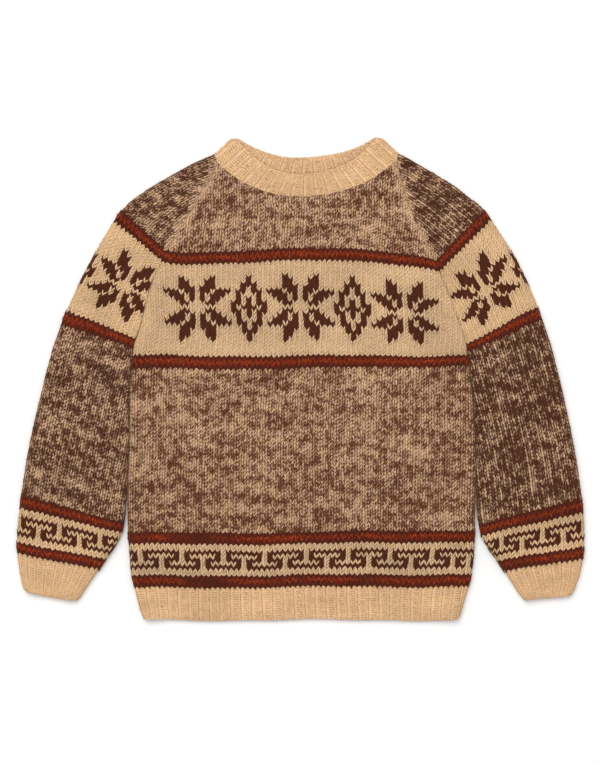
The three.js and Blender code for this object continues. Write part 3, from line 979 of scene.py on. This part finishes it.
def raised_legs_tree():
    """Raises every leg of the knitting into a strand: a narrow plateau on sloping sides."""
    made = Tree("raised legs", "GeometryNodeTree")
    made.socket("Cloth", "Geometry", "INPUT")
    made.inputs("Float", {
        "Leg height": LEG_HEIGHT * MM,
        "Height spread": 0.2,
        "Leg length": LEG_LENGTH,
        "Leg width": LEG_WIDTH,
        "Bold rust": 0.6,
        "Bold dark": 0.3,
        "Wander": 0.3 * MM,
    })
    made.inputs("Int", {"Seed": 0})
    made.socket("Wool", "Material", "INPUT")
    made.socket("Knitting", "Geometry", "OUTPUT")
    given = made.node("NodeGroupInput").outputs
    leg, yarn = made.face_value("leg"), made.face_value("yarn")
    bolder = 1.0
    for kind, gain in [(RUST, given["Bold rust"]), (DARK, given["Bold dark"])]:
        bolder = made.plus(bolder, made.math("COMPARE", yarn, kind, 0.5), gain)
    low = made.math("SUBTRACT", 1.0, given["Height spread"])
    high = made.math("ADD", 1.0, given["Height spread"])
    uneven = made.times(given["Leg height"], made.random(low, high, given["Seed"]))
    raised = made.node("GeometryNodeExtrudeMesh", {
        "Mesh": given["Cloth"],
        "Selection": made.math("GREATER_THAN", leg, 0.0),
        "Offset Scale": made.times(made.times(uneven, bolder), leg),
        "Individual": True,
    })
    top = raised.outputs["Top"]
    narrow = made.node("GeometryNodeScaleElements", {
        "Geometry": raised.outputs["Mesh"],
        "Selection": top,
        "Scale": made.times(given["Leg width"], bolder),
    })
    strand = made.node("GeometryNodeScaleElements", {
        "Geometry": narrow.outputs[0],
        "Selection": top,
        "Scale": made.math("DIVIDE", given["Leg length"], given["Leg width"]),
        "Axis": made.face_value("climb", "FLOAT_VECTOR"),
    }, scale_mode="SINGLE_AXIS")
    back = made.times(given["Wander"], -1.0)
    moved = made.node("GeometryNodeSetPosition", {
        "Geometry": strand.outputs[0],
        "Selection": top,
        "Offset": made.random(back, given["Wander"], given["Seed"], "FLOAT_VECTOR"),
    })
    # The strands' tops, marked for the painted shade of the valleys, which gives way there.
    crown = made.node("GeometryNodeStoreNamedAttribute", {
        "Geometry": moved.outputs[0], "Name": "crown", "Value": top,
    }, data_type="FLOAT", domain="POINT")
    smooth = made.node("GeometryNodeSetShadeSmooth", {"Geometry": crown.outputs[0]})
    real = made.node("GeometryNodeRealizeInstances", {"Geometry": smooth.outputs[0]})
    coloured = made.node("GeometryNodeSetMaterial", {
        "Geometry": real.outputs[0], "Material": given["Wool"],
    })
    made.node("NodeGroupOutput", {"Knitting": coloured.outputs[0]})
    return made.tree


def with_modifier(mesh, name, tree, values):
    """The mesh after a node tree with these values for its named inputs, as a plain mesh."""
    maker = bpy.data.objects.new(name, mesh)
    bpy.context.scene.collection.objects.link(maker)
    modifier = maker.modifiers.new(tree.name, "NODES")
    modifier.node_group = tree
    identifiers = {
        item.name: item.identifier
        for item in tree.interface.items_tree
        if item.item_type == "SOCKET" and item.in_out == "INPUT"
    }
    for key, value in values.items():
        modifier[identifiers[key]] = value
    depsgraph = bpy.context.evaluated_depsgraph_get()
    shape = bpy.data.meshes.new_from_object(
        maker.evaluated_get(depsgraph), preserve_all_data_layers=True, depsgraph=depsgraph
    )
    bpy.data.objects.remove(maker)
    return shape


# ---- Wool ----

def shade(red, green, blue, alpha=1.0):
    """A colour given as it looks, from 0 to 255, in the linear values that shaders read."""
    channels = [value / 255 for value in (red, green, blue)]
    linear = [c / 12.92 if c <= 0.04045 else ((c + 0.055) / 1.055) ** 2.4 for c in channels]
    return (*linear, alpha)


# Noises over the knitting: how fast they run across it and up it, by wale, which is a column of
# stitches, and by row; then their detail and roughness.
NOISES = {
    "clouds": (0.12, 0.34, 3.0, 0.6),
    "stretches": (0.13, 0.31, 2.0, 0.5),
    "strokes": (3.1, 0.9, 2.0, 0.7),
    "embers": (4.2, 2.4, 2.0, 0.7),
    "patches": (0.09, 0.12, 3.0, 0.5),
    "olive": (0.45, 0.6, 1.0, 0.5),
}
# The same for noises drawn out along the legs of the stitches: across a leg, and by wale.
LEG_NOISES = {"streaks": (1.9, 0.8, 1.0, 0.5), "hairs": (6.0, 1.6, 2.0, 0.5)}
PLY_SLANT = -0.7  # how the two plies lie across a leg
MARL_START, MARL_EDGE = -1.12, (0.53, 1.25)  # from the dark ply to the light one
LOW_ROWS_TOP = 45.0  # "Low rows" alters the marl row by row up to this one
RAGGEDNESS, RUST_EDGE = 1.1, (1.08, 0.8)  # how far from its middle a stripe is rust, in rows
FADE_EDGE, FADED_STRIPES = (0.36, 0.5), 20.0  # below this row the rust yarn fades in stretches
STRIPE_TINT = 0.5  # how much deep rust shows in the dark rows beside the rust ones
GLOW_EDGE = (0.42, 0.66)  # from deep rust to rust
PATCHES, GRAIN, TONE_EDGE = 0.4, 0.6, (0.3, 0.7)  # what makes up the tone
LEAST_TONE, LEAST_MARL_TONE, MOST_TONE = 0.6, 0.83, 1.21
OLIVE_GREEN, OLIVE_BLUE = 0.03, -0.25  # how the olive patches alter these channels
STRAND_EDGE = (0.05, 0.85)  # where on its slope a strand comes out of the valley's shade
# The groove's painted shade begins and is darkest at these distances from a wale's middle.
GROOVE_EDGE = (0.2, 0.05)  # from the middle of a wale, where its groove begins and is deepest


class YarnColours(Tree):
    """The colour of each stitch: four yarns, the marl's two plies, and painted shade in the
    valleys.
    """

    def __init__(self):
        super().__init__("yarn colour", "ShaderNodeTree")
        self.inputs("Color", {
            "Cream": shade(214, 181, 142),
            "Dark": shade(77, 32, 12),
            "Rust": shade(173, 63, 15),
            "Deep rust": shade(85, 9, 0),
            "Light ply": shade(204, 169, 135),
            "Dark ply": shade(92, 49, 29),
            # Multipliers for the painted shade between strands: in valleys, marl valleys, on purl
            # bars and in wale grooves, and beside dark stitches, where dark yarn shows too.
            "Shade in valleys": shade(218, 198, 180),
            "Shade in marl valleys": shade(168, 134, 108),
            "Shade in purl valleys": shade(200, 172, 148),
            "Shade in grooves": shade(212, 190, 172),
            "Dark yarn and shade in crowded valleys": shade(120, 84, 62),
        })
        self.inputs("Float", {
            "Light share": 0.41,
            "Low rows": 0.0035,
            "Least rust": 0.0,
            "Place": 0.0,
        })
        self.socket("Colour", "Color", "OUTPUT")
        self.given = self.node("NodeGroupInput").outputs
        facts = ["yarn", "fleck", "lean", "crowded", "stripe", "crown"]
        self.yarn, self.fleck, self.lean, self.crowded, self.stripe, self.crown = [
            self.node("ShaderNodeAttribute", attribute_name=name).outputs["Fac"] for name in facts
        ]
        knit_map = self.node("ShaderNodeUVMap", uv_map="knit").outputs[0]
        place = self.node("ShaderNodeSeparateXYZ", {0: knit_map})
        self.wale, self.row = place.outputs["X"], place.outputs["Y"]
        self.across_leg = self.plus(self.row, self.times(self.lean, self.wale), -2.0 * LEG_CLIMB)
        self.is_marl = self.math("GREATER_THAN", self.yarn, (RUST + MARL) / 2)
        self.embers = self.noise("embers")
        colour = self.toned(self.mixed(self.is_marl, self.solid_yarn(), self.marl()))
        # Painted shade: the colour is multiplied down between the strands and left whole on their
        # tops.
        sunk = self.mixed(1.0, colour, self.valley(), "MULTIPLY")
        on_top = self.smooth_ramp(self.crown, *STRAND_EDGE)
        self.node("NodeGroupOutput", {"Colour": self.mixed(on_top, sunk, colour)})

    def noise(self, name):
        """One of the noises above."""
        axes = (self.across_leg, self.wale) if name in LEG_NOISES else (self.wale, self.row)
        *speeds, detail, rough = (NOISES | LEG_NOISES)[name]
        x, y = [self.times(axis, speed) for axis, speed in zip(axes, speeds)]
        spot = self.node("ShaderNodeCombineXYZ", {"X": x, "Y": y, "Z": self.given["Place"]})
        return self.node("ShaderNodeTexNoise", {
            "Vector": spot.outputs[0], "Scale": 1.0, "Detail": detail, "Roughness": rough,
        }).outputs["Fac"]

    def from_half(self, value):
        """How far the fraction of a value lies from a half."""
        return self.plus(-0.5, self.math("FRACT", value))

    def marl(self):
        """Light and dark ply: in clouds, flecks, streaks, along each leg, and painted light and
        shade by lean.
        """
        side = self.from_half(self.times(self.wale, 2.0))
        leaning = self.times(self.lean, self.from_half(self.across_leg))
        from_ply = self.math("ABSOLUTE", self.plus(side, leaning, PLY_SLANT))
        light = MARL_START
        for part, weight in [
            (self.noise("clouds"), 2.0),
            (self.fleck, 0.54),
            (self.noise("streaks"), 1.1),
            (from_ply, -1.3),
            # Painted light and shade: legs leaning right a little lighter, legs leaning left a
            # little darker.
            (self.lean, 0.08),
            (self.math("MINIMUM", self.row, LOW_ROWS_TOP), self.given["Low rows"]),
            (self.given["Light share"], 1.0),
        ]:
            light = self.plus(light, part, weight)
        spread = self.smooth_ramp(light, *MARL_EDGE)
        return self.mixed(spread, self.given["Dark ply"], self.given["Light ply"])

    def solid_yarn(self):
        """Cream or dark yarn, with the ragged stripe of rust yarn between its dark rows."""
        is_dark = self.math("GREATER_THAN", self.yarn, (CREAM + DARK) / 2)
        yarn = self.mixed(is_dark, self.given["Cream"], self.given["Dark"])
        in_stripe = self.math("GREATER_THAN", self.stripe, NO_STRIPE / 2)
        yarn = self.mixed(self.times(in_stripe, STRIPE_TINT), yarn, self.given["Deep rust"])
        stretches = self.ramp(self.noise("stretches"), *FADE_EDGE, self.given["Least rust"])
        is_above = self.math("GREATER_THAN", self.row, FADED_STRIPES)
        from_stripe = self.math("ABSOLUTE", self.plus(self.row, self.stripe, -1.0))
        ragged = self.plus(from_stripe, self.noise("strokes"), RAGGEDNESS)
        bright = self.math("MAXIMUM", stretches, is_above)
        rusty = self.times(self.smooth_ramp(ragged, *RUST_EDGE), bright)
        glow = self.ramp(self.embers, *GLOW_EDGE)
        rust = self.mixed(glow, self.given["Deep rust"], self.given["Rust"])
        return self.mixed(rusty, yarn, rust)

    def toned(self, colour):
        """The colour with the unevenness of dyed wool, in patches and in fine grain."""
        grain = self.between(self.is_marl, self.embers, self.noise("hairs"))
        least = self.between(self.is_marl, LEAST_TONE, LEAST_MARL_TONE)
        uneven = self.plus(self.times(self.noise("patches"), PATCHES), grain, GRAIN)
        red = self.ramp(uneven, *TONE_EDGE, least, MOST_TONE)
        olive = self.plus(-0.5, self.noise("olive"))
        green, blue = [
            self.times(red, self.plus(1.0, olive, gain)) for gain in (OLIVE_GREEN, OLIVE_BLUE)
        ]
        tint = self.node("ShaderNodeCombineColor", {0: red, 1: green, 2: blue}).outputs[0]
        return self.mixed(1.0, colour, tint, "MULTIPLY")

    def valley(self):
        """The painted shade that darkens the colour between the strands."""
        from_middle = self.math("ABSOLUTE", self.from_half(self.wale))
        in_groove = self.ramp(from_middle, *GROOVE_EDGE)
        tint = self.mixed(in_groove, self.given["Shade in valleys"], self.given["Shade in grooves"])
        tint = self.mixed(self.math("ABSOLUTE", self.lean), self.given["Shade in purl valleys"], tint)
        tint = self.mixed(self.is_marl, tint, self.given["Shade in marl valleys"])
        return self.mixed(self.crowded, tint, self.given["Dark yarn and shade in crowded valleys"])


def wool_fibre_group():
    """The height of the fibres on a strand, and how matt it is."""
    made = Tree("wool fibre", "ShaderNodeTree")
    made.inputs("Float", {
        "Fibre size": 0.6,
        "Coarse scale": 240.0,
        "Least roughness": 0.8,
        "Most roughness": 0.98,
    })
    made.socket("Height", "Float", "OUTPUT")
    made.socket("Roughness", "Float", "OUTPUT")
    given = made.node("NodeGroupInput").outputs
    place = made.node("ShaderNodeTexCoord").outputs["Object"]
    fibres = made.node("ShaderNodeTexNoise", {
        "Vector": place,
        "Scale": made.math("DIVIDE", 1 / MM, given["Fibre size"]),
        "Detail": 3.0,
        "Roughness": 0.65,
        "Distortion": 1.4,
    }).outputs["Fac"]
    coarse = made.node("ShaderNodeTexNoise", {
        "Vector": place, "Scale": given["Coarse scale"], "Detail": 2.0,
    }).outputs["Fac"]
    rough = made.ramp(coarse, 0.3, 0.7, given["Least roughness"], given["Most roughness"])
    made.node("NodeGroupOutput", {"Height": fibres, "Roughness": rough})
    return made.tree


def wool(name, colours, fibres, values):
    """A wool material with its own values for the shared groups."""
    material = bpy.data.materials.new(name)
    material.use_nodes = True
    tree = material.node_tree
    tree.nodes.clear()
    colour = add_node(tree, "ShaderNodeGroup", node_tree=colours)
    fibre = add_node(tree, "ShaderNodeGroup", node_tree=fibres)
    for key, value in values.items():
        colour.inputs[key].default_value = value
    relief = add_node(tree, "ShaderNodeBump", {
        "Strength": 0.55, "Distance": 0.6 * MM, "Height": fibre.outputs["Height"],
    })
    surface = add_node(tree, "ShaderNodeBsdfPrincipled", {
        "Base Color": colour.outputs["Colour"],
        "Roughness": fibre.outputs["Roughness"],
        "Specular IOR Level": 0.22,
        "Sheen Weight": 0.2,
        "Sheen Roughness": 0.55,
        "Sheen Tint": shade(240, 190, 130),
        "Normal": relief.outputs["Normal"],
    })
    add_node(tree, "ShaderNodeOutputMaterial", {"Surface": surface.outputs["BSDF"]})
    return material


# ---- Light, camera and floor ----

# These places and sizes are in metres.
CAMERA_PLACE = (-0.0007, -0.0059, 3.131)
WINDOW_PLACE, WINDOW_SIZE = (-1.0, 2.6, 4.5), 4.0
FLOOR = [(-6, -6, 0), (6, -6, 0), (6, 6, 0), (-6, 6, 0)]


def in_scene(name, data):
    """A new object of the scene."""
    thing = bpy.data.objects.new(name, data)
    bpy.context.scene.collection.objects.link(thing)
    return thing


def make_camera():
    data = bpy.data.cameras.new("camera")
    data.lens = 100
    camera = in_scene("camera", data)
    camera.location = CAMERA_PLACE
    bpy.context.scene.camera = camera


def make_window():
    """A square soft light, turned to the middle of the sweater."""
    data = bpy.data.lights.new("window", "AREA")
    data.size = WINDOW_SIZE
    data.energy = 166
    data.color = (1, 0.985, 0.96)
    light = in_scene("window", data)
    light.location = WINDOW_PLACE
    x, y, z = WINDOW_PLACE
    light.rotation_euler = (math.atan2(math.hypot(x, y), z), 0, math.atan2(x, -y))


def make_surroundings():
    """The even light all round, the window and the floor."""
    world = bpy.data.worlds.new("soft studio")
    world.use_nodes = True
    background = world.node_tree.nodes["Background"].inputs
    background["Color"].default_value = (1, 1, 1, 1)
    background["Strength"].default_value = 0.8
    bpy.context.scene.world = world
    bpy.context.scene.view_settings.view_transform = "Standard"
    make_window()
    mesh = bpy.data.meshes.new("floor")
    mesh.from_pydata(FLOOR, [], [(0, 1, 2, 3)])
    paint = bpy.data.materials.new("pale floor")
    paint.use_nodes = True
    surface = paint.node_tree.nodes["Principled BSDF"].inputs
    surface["Base Color"].default_value = (0.9, 0.897, 0.893, 1)
    surface["Roughness"].default_value = 0.7
    mesh.materials.append(paint)
    in_scene("floor", mesh)


# ---- The pieces ----

def flat_size(places):
    """Greatest width, greatest length and area of a panel laid out smooth, in metres."""
    steps_across = np.linalg.norm(np.diff(places, axis=1), axis=2)
    steps_along = np.linalg.norm(np.diff(places, axis=0), axis=2)
    width, length = steps_across.sum(axis=1).max(), steps_along.sum(axis=0).max()
    one, two = places[1:, 1:] - places[:-1, :-1], places[1:, :-1] - places[:-1, 1:]
    area = np.linalg.norm(np.cross(one, two), axis=2).sum() / 2
    return width * MM, length * MM, area * MM * MM


def on_the_ground(mesh):
    """Brings up to the ground what lies below it."""
    places = np.empty(3 * len(mesh.vertices), np.float32)
    mesh.vertices.foreach_get("co", places)
    places[2::3] = np.maximum(places[2::3], 0)
    mesh.vertices.foreach_set("co", places)


def knit_piece(name, grid, colour_of, wools, slot, rests_on, seed, is_lined=False):
    is_rib = slot == "rib_wool"
    mesh = cloth_mesh(name, grid, colour_of, is_rib, is_lined, seed)
    values = {"Seed": seed, "Wool": wools.get(name, wools.get(slot))}
    if is_rib:
        values |= {"Leg height": RIB_LEG_HEIGHT * MM, "Leg width": RIB_LEG_WIDTH}
    shape = with_modifier(mesh, name + "_maker", wools["tree"], values)
    on_the_ground(shape)
    shape.name = name + "_knit"
    piece = in_scene(name + "_knit", shape)
    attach(piece, "root")
    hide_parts(name)
    width, length, area = flat_size(grid[0])
    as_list(rests_on)


def in_pattern(pattern):
    """What gives the yarn of each stitch in a pattern."""
    return lambda stitch, row: yarn_of(stitch, row, pattern)


def all_cream(stitch, row):
    return CREAM


def make_wools():
    """The material of each slot, and the node tree that raises the stitches."""
    colours, fibres = YarnColours().tree, wool_fibre_group()
    sleeve = {"Cream": shade(223, 187, 145), "Dark ply": shade(77, 38, 22), "Least rust": 0.6}
    # Painted shade: the left sleeve's smaller share of light ply makes it a little darker than the
    # right one.
    right = sleeve | {"Place": 11.0, "Light share": 0.395, "Low rows": 0.0006}
    left = sleeve | {"Place": 17.0, "Light share": 0.385, "Low rows": -0.0019}
    # The ribs' own cream, and their own painted shade in the valleys and, darker, in the grooves.
    rib = {
        "Place": 23.0,
        "Cream": shade(228, 189, 146),
        "Shade in valleys": shade(216, 196, 176),
        "Shade in grooves": shade(192, 160, 134),
    }
    return {
        "tree": raised_legs_tree(),
        "body_wool": wool("body knitting", colours, fibres, {"Place": 3.0}),
        "right_sleeve": wool("right sleeve knitting", colours, fibres, right),
        "left_sleeve": wool("left sleeve knitting", colours, fibres, left),
        "rib_wool": wool("cream ribbing", colours, fibres, rib),
    }


def make_body(wools):
    """The back and the front, with their ribbed hems."""
    hem_row = BODY["row"][0]
    pattern = in_pattern(BODY_PATTERN)
    stripes = HEM_STRIPES + BODY_PATTERN["stripes"]
    back = body_grid(False, ROW_REACH, TOP_BODY_ROW, stripes=stripes)
    front = body_grid(True, ROW_REACH, TOP_BODY_ROW, stripes=stripes)
    knit_piece("back", back, pattern, wools, "body_wool", [], seed=2)
    knit_piece("front", front, pattern, wools, "body_wool", ["back"], seed=1)
    back_welt = body_grid(False, hem_row, ROW_REACH, is_rib=True)
    front_welt = body_grid(True, hem_row, ROW_REACH, is_rib=True)
    knit_piece("back_welt", back_welt, all_cream, wools, "rib_wool", [], seed=4)
    knit_piece("front_welt", front_welt, all_cream, wools, "rib_wool", ["back_welt"], seed=3)


def make_sleeve(wools, side, arm, cuff_stitches, seed):
    """The right or the left sleeve, with its cuff."""
    rows = sleeve_rows(arm, side)
    stripes = HEM_STRIPES + SLEEVE_PATTERN["stripes"]
    tube = sleeve_grid(rows, ROW_REACH, rows["row"][-1], stripes=stripes)
    cuff = sleeve_grid(rows, rows["row"][0], ROW_REACH, cuff_stitches)
    pattern = in_pattern(SLEEVE_PATTERN)
    knit_piece(side + "_sleeve", tube, pattern, wools, "sleeve_wool", [], seed=seed)
    knit_piece(side + "_cuff", cuff, all_cream, wools, "rib_wool", [], seed=seed + 2)


def make_sweater():
    wools = make_wools()
    make_body(wools)
    make_sleeve(wools, "right", RIGHT_ARM, RIGHT_CUFF_STITCHES, seed=5)
    make_sleeve(wools, "left", LEFT_ARM, LEFT_CUFF_STITCHES, seed=6)
    band, below = band_grid(), ["front", "back"]
    knit_piece("neckband", band, all_cream, wools, "rib_wool", below, seed=9, is_lined=True)


make_camera()
make_surroundings()
make_sweater()
